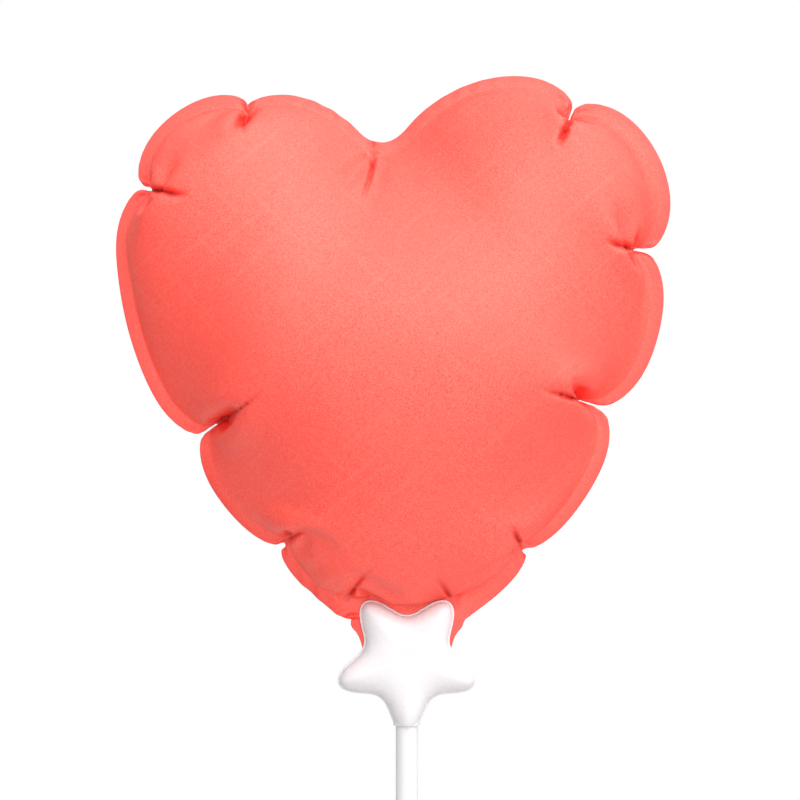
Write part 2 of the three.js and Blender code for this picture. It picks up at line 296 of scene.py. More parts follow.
def star_height(distance):
    """Height over the parting plane: a thin flat lip, then a roll up to the plateau."""
    lip = PARTING_GAP + LIP_THICKNESS
    climb = np.clip((distance - STAR_LIP) / STAR_ROLL, 0, 1)
    short = np.clip(LIP_ROUND - distance, 0, None)
    rounding = LIP_ROUND - np.sqrt(np.clip(LIP_ROUND**2 - short**2, 0, None))
    return lip - rounding + (STAR_HEIGHT - lip) * np.sqrt(1 - (1 - climb) ** 2)


def star_dome(inset, sunk, base):
    """A solid under the domed front, on the outline drawn in by inset and lowered by sunk."""
    angle = 2 * np.pi * np.arange(STAR_STEPS) / STAR_STEPS
    ray = np.stack([np.sin(angle), -np.cos(angle)], 1)
    whole = star_radius(angle)
    edge = ray * whole[:, None]
    radii = [whole - inset - less for less in STAR_INSETS]
    radii += [radii[-1] * share for share in STAR_SHARES]
    rings = np.array([ray * radius[:, None] for radius in radii])
    distance = distance_to_edge(rings.reshape(-1, 2), edge).reshape(rings.shape[:2])
    height = star_height(distance)
    soft = smoothstep(distance, SMOOTH_FROM, SMOOTH_FULLY)
    for _ in range(STAR_SMOOTHING):
        around = (np.roll(height, 1, 1) + np.roll(height, -1, 1)) / 2
        inward = np.concatenate([height[1:], height[-1:]])
        outward_ring = np.concatenate([height[:1], height[:-1]])
        height += soft * 0.5 * ((around + (inward + outward_ring) / 2) / 2 - height)
    height -= sunk
    points = [(x, -h, STAR_Z + z) for ring, level in zip(rings, height) for (x, z), h in zip(ring, level)]
    centre = len(points)
    points.append((0, -height[-1].mean(), STAR_Z))
    floor = len(points)
    points += [(x, -base, STAR_Z + z) for x, z in rings[0]]
    points.append((0, -base, STAR_Z))
    faces = []
    last = (len(radii) - 1) * STAR_STEPS
    for k in range(STAR_STEPS):
        n = (k + 1) % STAR_STEPS
        for ring in range(len(radii) - 1):
            a = ring * STAR_STEPS
            faces.append((a + k, a + n, a + STAR_STEPS + n, a + STAR_STEPS + k))
        faces.append((last + k, last + n, centre))
        faces.append((k, floor + k, floor + n, n))
        faces.append((floor + k, floor + STAR_STEPS, floor + n))
    return facing_out(mesh_piece("dome", points, faces))


def rib_across(rise):
    reach = STAR_MEAN_RADIUS
    low = (-reach, -STAR_HEIGHT, STAR_Z + rise - RIB_THICKNESS / 2)
    return block(low, (reach, -PINCH_FACE, STAR_Z + rise + RIB_THICKNESS / 2))


def clip_shell():
    """One half of the clip before its pegs or sockets, made as the front half."""
    bore = STICK_RADIUS + BORE_CLEARANCE

    def collar():
        tube = rod_along_z(bore + COLLAR_WALL, FOOT_Z, STAR_Z - COLLAR_TOP_DROP)
        behind = block((-BEYOND, -PARTING_GAP, FOOT_Z - BEYOND), (BEYOND, BEYOND, STAR_Z + BEYOND))
        return combine(tube, behind, "DIFFERENCE")

    hollow = star_dome(CAVITY_INSET, STAR_WALL, 0)
    saddle = rib_across(SADDLE_RISE)
    oval = SADDLE_DEPTH / SADDLE_HALF_WIDTH
    channel = rod_along_z(SADDLE_HALF_WIDTH, STAR_Z - SADDLE_REACH, STAR_Z + SADDLE_REACH, oval)
    combine(hollow, combine(saddle, channel, "DIFFERENCE"), "DIFFERENCE")
    for rise in RIB_RISES:
        combine(hollow, rib_across(rise), "DIFFERENCE")
    combine(hollow, collar(), "DIFFERENCE")

    shell = combine(star_dome(0, 0, PARTING_GAP), collar(), "UNION")
    combine(shell, hollow, "DIFFERENCE")
    combine(shell, rod_along_z(bore, FOOT_Z - 1, STAR_Z + NECK_END_RISE + BORE_PAST_NECK), "DIFFERENCE")
    below_foot = block((-FOOT_CUT, -FOOT_CUT, FOOT_Z - FOOT_CUT), (FOOT_CUT, FOOT_CUT, FOOT_Z))
    return combine(shell, below_foot, "DIFFERENCE")


def inside_the_dome(piece):
    return combine(piece, star_dome(BOSS_INSET, BOSS_SUNK, PARTING_GAP), "INTERSECT")


def clip_front():
    """The front half, with a socket for each peg."""
    shell = clip_shell()
    for x, rise in PEG_PLACES:
        boss = rod_along_y(SOCKET_RADIUS + SOCKET_WALL, PARTING_GAP, STAR_HEIGHT, x, STAR_Z + rise)
        combine(shell, inside_the_dome(boss), "UNION")
        hole = rod_along_y(SOCKET_RADIUS, -1, PEG_REACH + SOCKET_SPARE, x, STAR_Z + rise)
        combine(shell, hole, "DIFFERENCE")
    shell.name = "star_front"
    return shade(shell)


def clip_rear():
    """The same moulding turned round, with pegs in place of the sockets."""
    shell = clip_shell()
    for x, rise in PEG_PLACES:
        root = rod_along_y(PEG_RADIUS, PARTING_GAP, STAR_HEIGHT, x, STAR_Z + rise)
        combine(shell, inside_the_dome(root), "UNION")
        peg = rod_along_y(PEG_RADIUS, -1, PEG_REACH, x, STAR_Z + rise, PEG_CHAMFER)
        peg.data.transform(Matrix.Diagonal((1, -1, 1, 1)))
        peg.data.flip_normals()
        combine(shell, peg, "UNION")
    shell.data.transform(Matrix.Diagonal((1, -1, 1, 1)))
    shell.data.flip_normals()
    shell.name = "star_rear"
    return shade(shell)


# --- the stick and the valve -------------------------------------


STICK_RINGS = 41
STICK_SHARP_DEGREES = 50
WING_START = VALVE_RADIUS + 0.12
WING_STEPS = 8
CHANNEL_STEPS = 33
VALVE_ROWS = 15


def straw():
    """A straw with an open bore and ends softened by the cutter."""
    soft = STICK_WALL / 3
    inner = STICK_RADIUS - STICK_WALL
    corner = [(math.cos(a), math.sin(a)) for a in np.radians([0, 30, 60, 90])]
    outer_top = [(STICK_RADIUS - soft + soft * c, STICK_TOP_Z - soft + soft * s) for c, s in corner]
    inner_top = [(inner + soft - soft * c, STICK_TOP_Z - soft + soft * s) for c, s in corner[::-1]]
    rings = np.linspace(0, STICK_TOP_Z, STICK_RINGS)[1:-1]
    outside = [(STICK_RADIUS, z) for z in rings]
    inside = [(inner, z) for z in rings[::-1]]
    bottom = [(radius, STICK_TOP_Z - z) for radius, z in inner_top[::-1] + outer_top[::-1]]
    profile = bottom + outside + outer_top + inner_top + inside
    return shade(turned("straw", profile, ROUND_STEPS, closed=True), STICK_SHARP_DEGREES)


def valve_strip(name, side):
    """A thin strip inside the neck: flat wings with a half-round channel for the stick between them."""
    join = math.asin(VALVE_HALF_GAP / VALVE_RADIUS)
    arc_angles = np.linspace(math.pi - join, join, CHANNEL_STEPS)
    wing = np.linspace(VALVE_HALF_WIDTH, WING_START, WING_STEPS)

    def section(outward_shift):
        radius = VALVE_RADIUS + outward_shift
        wings = [(-x, VALVE_HALF_GAP + outward_shift) for x in wing]
        channel = [(radius * math.cos(a), max(radius * math.sin(a), wings[0][1])) for a in arc_angles]
        return np.array(wings + channel + [(-x, y) for x, y in wings[::-1]])

    loop = np.concatenate([section(0), section(VALVE_FILM)[::-1]])
    rows = np.linspace(STAR_Z + NECK_END_RISE, STAR_Z + VALVE_TOP_RISE, VALVE_ROWS)
    count = len(loop)
    points = [(x, side * y, z) for z in rows for x, y in loop]
    faces = []
    for row in range(len(rows) - 1):
        a = row * count
        for k in range(count):
            n = (k + 1) % count
            faces.append((a + k, a + n, a + count + n, a + count + k))
    for start in (0, (len(rows) - 1) * count):
        far = start + count - 1
        faces += [(start + k, start + k + 1, far - k - 1, far - k) for k in range(count // 2 - 1)]
    return shade(facing_out(mesh_piece(name, points, faces)))


# --- the balloon's outline ---------------------------------------

ARC_STEP = 0.25
SIDE_RUNS_BELOW_BASE = 6
NECK_STEP = 0.3
NECK_GIVES_WAY_ABOVE = 3
NECK_FLARE_LIMIT = 1.3
EDGE_STEP = 0.4
EDGE_SMOOTHING = 12
LEAN_FROM = -2
LEAN_FULLY = 12
SHIFT_FULLY = 10


def arc(centre_u, centre_v, radius, start, end):
    angle = np.linspace(start, end, max(2, int(abs(end - start) * radius / ARC_STEP)))
    return np.stack([centre_u + radius * np.cos(angle), centre_v + radius * np.sin(angle)], 1)


def heart_half():
    """Right half of the heart's outline, from its base up to the valley."""
    reach = SIDE_RADIUS - LOBE_RADIUS
    side_u = LOBE_U - reach * math.cos(SIDE_JOIN)
    side_v = LOBE_V - reach * math.sin(SIDE_JOIN)
    valley_v = LOBE_V + math.sqrt((LOBE_RADIUS + VALLEY_RADIUS) ** 2 - LOBE_U**2)
    touch = math.atan2(valley_v - LOBE_V, -LOBE_U)
    low_end = -math.asin((side_v + SIDE_RUNS_BELOW_BASE) / SIDE_RADIUS)
    side = arc(side_u, side_v, SIDE_RADIUS, low_end, SIDE_JOIN)
    lobe = arc(LOBE_U, LOBE_V, LOBE_RADIUS, SIDE_JOIN, touch)
    valley = arc(0, valley_v, VALLEY_RADIUS, touch - math.pi, -math.pi / 2)
    return np.concatenate([side, lobe[1:], valley[1:]])


def lengths_along(points):
    return np.r_[0, np.cumsum(np.linalg.norm(np.diff(points, axis=0), axis=1))]


def evenly(points, step):
    """The same line with its points a step apart."""
    keep = np.r_[True, np.linalg.norm(np.diff(points, axis=0), axis=1) > 1e-6]
    points = points[keep]
    along = lengths_along(points)
    at = np.linspace(0, along[-1], int(round(along[-1] / step)) + 1)
    return np.stack([np.interp(at, along, points[:, k]) for k in (0, 1)], 1)


def outward(points):
    """Directions out of a line that runs anticlockwise, level at its two ends."""
    along = np.gradient(points, axis=0)
    along /= np.linalg.norm(along, axis=1)[:, None]
    normal = np.stack([along[:, 1], -along[:, 0]], 1)
    normal[0] = (1, 0)
    normal[-1] = (-1, 0)
    return normal


def balloon_edge(scale):
    """The balloon's edge from the neck's lower right corner round to its lower left one, the heart scaled."""
    neck_end = NECK_END_RISE - HEART_BASE_RISE

    def neck_half(v):
        share = np.clip((v - neck_end) / -neck_end, 0, NECK_FLARE_LIMIT)
        return NECK_END_HALF + (NECK_TOP_HALF - NECK_END_HALF) * share

    half = heart_half() * scale
    half = half[(half[:, 1] > NECK_GIVES_WAY_ABOVE) | (half[:, 0] > neck_half(half[:, 1]))]
    v = np.arange(neck_end, half[0, 1], NECK_STEP)[:-1]
    half = np.concatenate([np.stack([neck_half(v), v], 1), half])
    edge = evenly(np.concatenate([half, (half * [-1, 1])[::-1]]), EDGE_STEP)
    for _ in range(EDGE_SMOOTHING):
        edge[1:-1] = 0.5 * edge[1:-1] + 0.25 * (edge[:-2] + edge[2:])
    return edge


def placed(points):
    """X and Z of points given by u and v: the heart leans, and its neck stays upright in the clip."""
    lean = HEART_LEAN * smoothstep(points[:, 1], LEAN_FROM, LEAN_FULLY)
    shift = HEART_SHIFT * smoothstep(points[:, 1], LEAN_FROM, SHIFT_FULLY)
    x = points[:, 0] * np.cos(lean) - points[:, 1] * np.sin(lean) + shift
    z = points[:, 0] * np.sin(lean) + points[:, 1] * np.cos(lean)
    return np.stack([x, STAR_Z + HEART_BASE_RISE + z], 1)


def nearest_at_angle(points, centre_v, degrees):
    angle = np.degrees(np.arctan2(points[:, 1] - centre_v, points[:, 0]))
    return int(np.argmin(np.abs((angle - degrees + 180) % 360 - 180)))


# --- the film's pattern ------------------------------------------

LATTICE_JITTER = 0.06
LATTICE_CLEARANCE = 0.75
FILLED_STEP = 0.1
HEART_ABOVE = -1
DRAWN_IN_ABOVE = 8
SWELL_POWER = 2.2
VALLEY_RISE = 16


def inside(points, loop):
    x0, y0 = loop.T
    x1, y1 = np.roll(x0, -1), np.roll(y0, -1)
    x, y = points[:, :1], points[:, 1:]
    crossed = ((y0 > y) != (y1 > y)) & (x < (x1 - x0) * (y - y0) / (y1 - y0 + 1e-12) + x0)
    return crossed.sum(1) % 2 == 1


def distance_to_points(points, others):
    return np.array([np.sqrt(((others - p) ** 2).sum(1).min()) for p in points])


def panel_points(loop, dice):
    """Points inside the seam on a triangular lattice, four times sparser well away from it."""
    low, high = loop.min(0) - MESH_STEP, loop.max(0) + MESH_STEP
    points = []
    sparse = []
    for row, v in enumerate(np.arange(low[1], high[1], MESH_STEP * math.sqrt(3) / 2)):
        for column, u in enumerate(np.arange(low[0], high[0], MESH_STEP)):
            points.append((u + (MESH_STEP / 2 if row % 2 else 0), v))
            sparse.append(row % 2 == 0 and (column + row // 2) % 2 == 0)
    points, sparse = np.array(points), np.array(sparse)
    within = inside(points, loop)
    points, sparse = points[within], sparse[within]
    distance = distance_to_points(points, loop)
    keep = (distance > LATTICE_CLEARANCE * MESH_STEP) & (sparse | (distance <= COARSE_BEYOND))
    jitter = dice.uniform(-LATTICE_JITTER, LATTICE_JITTER, (keep.sum(), 2))
    return points[keep] + jitter * MESH_STEP


def flat_pattern(dice):
    """The front panel cut flat, with the welded margin round it. Margin rings come first, edge inwards."""
    edge = evenly(balloon_edge(CUT_SCALE), MESH_STEP)
    count = len(edge)
    rings = [edge - outward(edge) * SEAM_WIDTH * k / MARGIN_RINGS for k in range(MARGIN_RINGS + 1)]
    seam = rings[-1]
    steps = int(round((seam[0, 0] - seam[-1, 0]) / MESH_STEP))
    end_u = np.linspace(seam[-1, 0], seam[0, 0], steps + 1)[1:-1]
    loop = np.concatenate([seam, np.stack([end_u, np.full(steps - 1, seam[0, 1])], 1)])
    points = np.concatenate([loop, panel_points(loop, dice)])
    sides = [(i, (i + 1) % len(loop)) for i in range(len(loop))]
    found = delaunay_2d_cdt([Vector(p) for p in points], sides, [], 1, 1e-4)[2]
    panel = np.array([list(t) for t in found])
    first = points[panel[:, 1]] - points[panel[:, 0]]
    second = points[panel[:, 2]] - points[panel[:, 0]]
    turned_over = first[:, 0] * second[:, 1] - first[:, 1] * second[:, 0] < 0
    panel[turned_over] = panel[turned_over][:, ::-1]
    margin = []
    for ring in range(MARGIN_RINGS):
        for i in range(count - 1):
            a, b = ring * count + i, ring * count + i + 1
            c, d = b + count, a + count
            margin += [(a, b, c), (a, c, d)] if (i + ring) % 2 else [(a, b, d), (b, c, d)]
    seam_start = MARGIN_RINGS * count
    return {
        "flat": np.concatenate(rings[:-1] + [points]),
        "panel": panel + seam_start,
        "margin": np.array(margin),
        "count": count,
        "seam_start": seam_start,
        "seam": seam,
    }


def swollen(line, normals):
    """The seam of the filled balloon between its folds, a little fuller where the film bellies out."""
    line = line.copy()
    rims = np.radians([fold["rim"] for fold in FOLDS])
    angle = np.arctan2(line[:, 1] - HEART_CENTRE, line[:, 0]) % (2 * math.pi)
    on_heart = line[:, 1] > HEART_ABOVE
    more = -SEAM_DRAWN_IN * smoothstep(line[:, 1], 0, DRAWN_IN_ABOVE)
    tilt = np.zeros(len(line))
    for k, fold in enumerate(FOLDS):
        span = (rims[(k + 1) % len(rims)] - rims[k]) % (2 * math.pi)
        share = ((angle - rims[k]) % (2 * math.pi)) / span
        within = (share < 1) & on_heart
        share = np.clip(share, 0, 1) ** (math.log(0.5) / math.log(fold["peak"]))
        more += np.where(within, fold["swell"] * (1 - np.abs(2 * share - 1) ** SWELL_POWER), 0)
        tilt += np.where(within, math.radians(fold["tilt"]) * np.sin(math.pi * share) ** 0.5, 0)
    return line + more[:, None] * normals, tilt


def filled_seam(pattern):
    """Where the seam and its margin end up, and the folds: indices on both seams, tip, mouth and depth."""
    edge = evenly(balloon_edge(1), FILLED_STEP)
    high_up = smoothstep(edge[:, 1], LOBE_V, LOBE_V + VALLEY_RISE)
    near_valley = np.exp(-((edge[:, 0] / VALLEY_HALF_WIDTH) ** 2)) * high_up
    edge[:, 0] -= VALLEY_SHIFT * near_valley
    normals = outward(edge)
    line = edge - normals * SEAM_WIDTH
    along = lengths_along(line)
    curve, tilt = swollen(line, normals)
    seam = pattern["seam"]
    centre = np.array([0, HEART_CENTRE])
    folds = []
    for fold in FOLDS:
        rim, depth = fold["rim"], fold["depth"]
        i = nearest_at_angle(line, HEART_CENTRE, rim)
        reach = np.linalg.norm(line[i] - centre) - depth
        heading = math.radians(fold["tip"])
        tip = centre + reach * np.array([math.cos(heading), math.sin(heading)])
        away = np.abs(along - along[i])
        slit = SLIT_SHARE * np.exp(-((away / SLIT_WIDTH) ** SLIT_SHARPNESS))
        dip = (1 - SLIT_SHARE) * np.exp(-((away / DIP_WIDTH) ** 2))
        shape = slit + dip if depth > 0 else np.exp(-away / CORNER_WIDTH)
        curve += (tip - line[i]) * shape[:, None]
        folds.append((nearest_at_angle(seam, HEART_CENTRE * CUT_SCALE, rim), i, tip, line[i], depth))
    neck_flat = int(np.argmax(seam[:, 1] > HEART_ABOVE))
    neck_full = int(np.argmax(line[:, 1] > HEART_ABOVE))
    anchors = [(0, 0), (neck_flat, neck_full)]
    anchors += sorted(fold[:2] for fold in folds)
    anchors += [(len(seam) - 1 - neck_flat, len(line) - 1 - neck_full), (len(seam) - 1, len(line) - 1)]
    curve_along = lengths_along(curve)
    seam_along = lengths_along(seam)
    goal = np.zeros_like(seam)
    facing = np.zeros_like(seam)
    leaning = np.zeros(len(seam))
    for (j0, i0), (j1, i1) in zip(anchors, anchors[1:]):
        share = (seam_along[j0 : j1 + 1] - seam_along[j0]) / (seam_along[j1] - seam_along[j0])
        at = curve_along[i0] + share * (curve_along[i1] - curve_along[i0])
        goal[j0 : j1 + 1] = np.stack([np.interp(at, curve_along, curve[:, k]) for k in (0, 1)], 1)
        facing[j0 : j1 + 1] = np.stack([np.interp(at, curve_along, normals[:, k]) for k in (0, 1)], 1)
        leaning[j0 : j1 + 1] = np.interp(at, curve_along, tilt)
    facing /= np.linalg.norm(facing, axis=1)[:, None]
    rings = []
    for k in range(MARGIN_RINGS):
        reach = SEAM_WIDTH * (1 - k / MARGIN_RINGS)
        ring = placed(goal + facing * (reach * np.cos(leaning))[:, None])
        rings.append(np.stack([ring[:, 0], reach * np.sin(leaning), ring[:, 1]], 1))
    return placed(goal), np.concatenate(rings), folds


# --- filling the balloon -----------------------------------------

# The clip leaves the film this much room, and more with distance from its outline.
CLIP_ROOM = 0.14
CLIP_ROOM_FROM = 0.3
CLIP_ROOM_SLOPE = 3.2
CLIP_ROOM_POWER = 1.25
NEAR_CLIP = 22

# The film round a fold: how far it is kept from the fold's plane, and how crisply it folds there.
FOLD_REACH = 9
FOLD_AHEAD = 12
FOLD_BEHIND = -5
FOLD_MIDDLE = 0.3
FOLD_FADES_AT = 11
FOLD_FADE = 5
MARGIN_GAP = 0.12
PANEL_GAP = 0.06
DEEP_FOLD = 2
CRISP_WIDTH = 3
SLACK_WIDTH = 2
HOLD_WIDTH = 2

# How the film resists: being squeezed, bent and flattened, and how its margin is held.
SQUEEZE = 0.02
WELD_SQUEEZE = 0.015
MARGIN_STIFFNESS = 0.3
MARGIN_SLACK = 0.9
PANEL_STIFFNESS = 0.02
PLATE_STIFFNESS = 0.05
MARGIN_HOLD = 0.05
MARGIN_HOLD_IN_FOLDS = 0.004
MARGIN_TILT_HOLD = 0.09
HOLD_SHARES = [1, 0.3, 1]

# Where the film starts from and how it is moved.
START_GAP = 0.08
START_BULGE = 0.8
START_BULGE_WIDTH = 8
START_WAVER = 0.05
DRAWN_BY = 0.4
PRESSURE_EVERY = 4
PLATE_EVERY = 2
MIDDLE_GAP = 0.03
SEED = 7


def coloured(pairs, count):
    """Groups of point pairs, no two pairs of a group sharing a point."""
    used = [0] * count
    colour = np.zeros(len(pairs), int)
    for i, (a, b) in enumerate(pairs):
        free = ~(used[a] | used[b])
        bit = free & -free
        colour[i] = bit.bit_length() - 1
        used[a] |= bit
        used[b] |= bit
    return [np.nonzero(colour == k)[0] for k in range(colour.max() + 1)]


def links(pairs, rest, firm, yielding, mobility):
    """Distance links in groups: both ends' indices, rest length, their shares of a move and of a squeeze."""
    rows = []
    for group in coloured(pairs, len(mobility)):
        a, b = pairs[group].T
        total = np.maximum(mobility[a] + mobility[b], 1e-9)
        share_a = (mobility[a] / total * firm[group])[:, None]
        share_b = (mobility[b] / total * firm[group])[:, None]
        rows.append((a, b, rest[group], share_a, share_b, yielding[group]))
    return rows


def relax(x, rows, pull):
    """Moves linked points towards their rest distance. pull is 0 where a link may be as long as it likes."""
    for a, b, rest, share_a, share_b, squeeze in rows:
        step = x[b] - x[a]
        length = np.sqrt(np.einsum("ij,ij->i", step, step))
        excess = length - rest
        step *= (np.where(excess < 0, excess * squeeze, excess * pull) / length)[:, None]
        x[a] += share_a * step
        x[b] -= share_b * step


def edges_and_bends(triangles):
    """Every edge of the triangles, and for the edges between two triangles their opposite corners."""
    opposite = {}
    for a, b, c in triangles:
        for p, q, r in ((a, b, c), (b, c, a), (c, a, b)):
            opposite.setdefault((min(p, q), max(p, q)), []).append(r)
    edges = np.array(list(opposite))
    pairs = [(edge, ends) for edge, ends in opposite.items() if len(ends) == 2]
    return edges, np.array([ends for _, ends in pairs]), np.array([edge for edge, _ in pairs])


def tent_over_stick(u, rise):
    fading = 1 - smoothstep(rise, TENT_FULL_RISE, TENT_GONE_RISE)
    return TENT_HEIGHT * fading * np.exp(-((u / TENT_SPREAD) ** 2))


def clip_room(x, candidates):
    """How far from the parting plane the film may stand: next to nothing between the halves of the clip."""
    dx = x[candidates, 0]
    dz = x[candidates, 2] - STAR_Z
    outside = np.hypot(dx, dz) - star_radius(np.arctan2(dx, -dz))
    more = np.clip(CLIP_ROOM_SLOPE * (outside - CLIP_ROOM_FROM), 0, None)
    return CLIP_ROOM + more**CLIP_ROOM_POWER


def fill(pattern):
    """Fills the balloon: pressure on film that barely stretches but wrinkles, its seam drawn up in folds."""
    dice = np.random.default_rng(SEED)
    flat, panel, margin = pattern["flat"], pattern["panel"], pattern["margin"]
    count, seam_start, seam = pattern["count"], pattern["seam_start"], pattern["seam"]
    total = len(flat)
    seam_ids = np.arange(seam_start, seam_start + count)
    inner = np.arange(seam_start + count, total)
    seam_goal, margin_goal, folds = filled_seam(pattern)
    seam_along = lengths_along(seam)

    x = np.zeros((total, 3))
    x[:, 0], x[:, 2] = placed(flat).T
    from_seam = distance_to_points(flat, seam)
    rise = flat[:, 1] + HEART_BASE_RISE
    low = START_BULGE * np.minimum(from_seam / START_BULGE_WIDTH, 1) * (flat[:, 1] > 0)
    tent = (flat[:, 1] < 0) * tent_over_stick(flat[:, 0], rise)
    x[inner, 1] = -(START_GAP + low + tent)[inner]
    x[:seam_start, 1] = dice.uniform(-1, 1, seam_start) * START_WAVER
    mobility = np.where(rise < PINNED_BELOW_RISE, 0.0, 1.0)
    mobility[seam_ids] = 0

    walls = []
    crisp = np.zeros(total)
    slack = np.zeros(total)
    near_fold = np.zeros(count)
    for j, _, tip, mouth, depth in folds:
        if depth > 0:
            apart = (seam_along - seam_along[j]) / HOLD_WIDTH
            near_fold = np.maximum(near_fold, np.exp(-(apart**2)))
        world_tip, world_mouth = placed(np.array([tip, mouth]))
        inward = world_tip - world_mouth
        inward /= np.linalg.norm(inward)
        across = np.array([-inward[1], inward[0]])
        flat_inward = (tip - mouth) / np.linalg.norm(tip - mouth)
        if depth < 0:
            flat_inward = -flat_inward
        offset = flat - seam[j]
        ahead = offset @ flat_inward
        beside = offset @ np.array([-flat_inward[1], flat_inward[0]])
        past_mouth = ahead > FOLD_BEHIND
        near = (np.abs(beside) < FOLD_REACH) & (np.abs(beside) > FOLD_MIDDLE)
        ids = np.nonzero(near & (ahead < FOLD_AHEAD) & past_mouth & (mobility > 0))[0]
        gap = np.where(ids < seam_start, MARGIN_GAP, PANEL_GAP)
        if depth > DEEP_FOLD:
            walls.append((ids, np.sign(beside[ids]), across, across @ world_tip, gap))
        gone = FOLD_FADES_AT + depth
        fading = np.clip((gone - ahead) / FOLD_FADE, 0, 1) * past_mouth
        crisp = np.maximum(crisp, np.exp(-((beside / CRISP_WIDTH) ** 2)) * fading)
        slack = np.maximum(slack, np.exp(-((beside / SLACK_WIDTH) ** 2)) * (ahead < gone) * past_mouth)

    edges, bends, bend_edges = edges_and_bends(np.concatenate([margin, panel]))
    on_seam = ((bend_edges >= seam_start) & (bend_edges < seam_start + count)).all(1)
    keep = ~(on_seam & ((bends < seam_start).sum(1) == 1))
    bends, bend_edges = bends[keep], bend_edges[keep]

    def flat_length(pairs):
        return np.linalg.norm(flat[pairs[:, 0]] - flat[pairs[:, 1]], axis=1)

    crisp_edge = crisp[edges].mean(1)
    squeeze = SQUEEZE * (1 - crisp_edge) + crisp_edge
    squeeze[(edges < seam_start + count).all(1)] = WELD_SQUEEZE
    stretch = links(edges, flat_length(edges), np.ones(len(edges)), squeeze, mobility)
    slack_edge = slack[bend_edges].mean(1)
    margin_stiffness = MARGIN_STIFFNESS * (1 - MARGIN_SLACK * slack_edge)
    stiff = np.where((bend_edges < seam_start).any(1), margin_stiffness, PANEL_STIFFNESS)
    bending = links(bends, flat_length(bends), stiff, np.ones(len(bends)), mobility)

    panel_edges = edges[(edges >= seam_start).all(1)]
    ends_a, ends_b = panel_edges.T
    neighbours = np.bincount(ends_a, minlength=total) + np.bincount(ends_b, minlength=total)
    plate = PLATE_STIFFNESS * (1 - crisp) * mobility
    plate[: seam_start + count] = 0

    def neighbour_mean(values):
        summed = np.bincount(ends_a, values[ends_b], total) + np.bincount(ends_b, values[ends_a], total)
        return summed / np.maximum(neighbours, 1)

    fading_hold = MARGIN_HOLD * (1 - near_fold) + MARGIN_HOLD_IN_FOLDS * near_fold
    hold = np.tile(fading_hold, MARGIN_RINGS) * mobility[:seam_start]
    margin_mobility = mobility[:seam_start].reshape(MARGIN_RINGS, count, 1)
    seam_flat = x[seam_ids].copy()
    seam_full = np.stack([seam_goal[:, 0], np.zeros(count), seam_goal[:, 1]], 1)
    in_reach = (x[:, 2] < STAR_Z + NEAR_CLIP) & (np.abs(x[:, 0]) < NEAR_CLIP)
    near_clip = np.nonzero(in_reach & (mobility > 0))[0]
    near_clip_margin = near_clip < seam_start
    corner_a, corner_b, corner_c = panel.T
    face_area = MESH_STEP**2 * math.sqrt(3) / 2
    speed = np.zeros_like(x)
    push = np.zeros_like(x)
    for step in range(FILL_STEPS):
        drawn = smoothstep(step / (DRAWN_BY * FILL_STEPS), 0, 1)
        if step % PRESSURE_EVERY == 0:
            face = np.cross(x[corner_b] - x[corner_a], x[corner_c] - x[corner_a])
            for k in range(3):
                corners = (corner_a, corner_b, corner_c)
                summed = sum(np.bincount(corner, face[:, k], total) for corner in corners)
                push[:, k] = FILL_PRESSURE / (6 * face_area) * summed * mobility
        old = x.copy()
        x += speed + push
        now = seam_flat * (1 - drawn) + seam_full * drawn
        moved = now - old[seam_ids]
        x[seam_ids] = now
        x[:seam_start] += (moved * margin_mobility).reshape(-1, 3)
        relax(x, stretch, 1)
        relax(x, bending, 0)
        if step % PLATE_EVERY == 0:
            size = np.sqrt((push**2).sum(1))
            normal = push / np.maximum(size, 1e-12)[:, None]
            curved = sum((neighbour_mean(x[:, k]) - x[:, k]) * normal[:, k] for k in range(3))
            x += (plate * (curved - neighbour_mean(curved)))[:, None] * normal
        x[:seam_start] += (hold * drawn)[:, None] * (margin_goal - x[:seam_start]) * HOLD_SHARES
        x[:seam_start, 1] += MARGIN_TILT_HOLD * (margin_goal[:, 1] * drawn - x[:seam_start, 1])
        x[inner, 1] = np.minimum(x[inner, 1], -MIDDLE_GAP)
        room = clip_room(x, near_clip)
        x[near_clip, 1] = np.clip(x[near_clip, 1], -room, np.where(near_clip_margin, room, 0))
        for ids, side, across, level, gap in walls:
            clear = (x[ids][:, ::2] @ across - level) * side
            apart = np.maximum(gap * drawn - clear, 0) * side
            x[ids, 0] += apart * across[0]
            x[ids, 2] += apart * across[1]
        speed = (x - old) * FILL_DAMPING
        speed[seam_ids] = 0
    return x


GROOVE_WANDER = 0.3
GROOVE_WAVE = 2.6
GROOVE_STRAIGHT_FOR = 3
GROOVE_SHARPNESS = 1.5
GROOVE_DEEPEST = 0.93
CREASED_GAIN = 1.6
FORK_LENGTH = 0.9
SEAM_SHARPNESS = 0.9
SUBDIVISIONS = 2


def groove(points, start, heading, length, back, depth, width):
    """Presses a tapering groove into both panels, deepest at its start, and gives back how far it reaches."""
    offset = points[:, ::2] - start
    ahead = offset @ heading
    wander = GROOVE_WANDER * np.sin(ahead / GROOVE_WAVE + start[0])
    wander = wander * np.clip(ahead / GROOVE_STRAIGHT_FOR, 0, 1)
    beside = np.abs(offset @ np.array([-heading[1], heading[0]]) - wander)
    fading = np.maximum(1 - ahead / length, 0) * smoothstep(ahead, -back - 1, -back)
    across = np.exp(-((beside / width) ** GROOVE_SHARPNESS))
    deepest = GROOVE_DEEPEST * np.abs(points[:, 1])
    points[:, 1] -= np.sign(points[:, 1]) * np.minimum(deepest, depth * fading) * across
    return across * np.minimum(CREASED_GAIN * fading, 1)


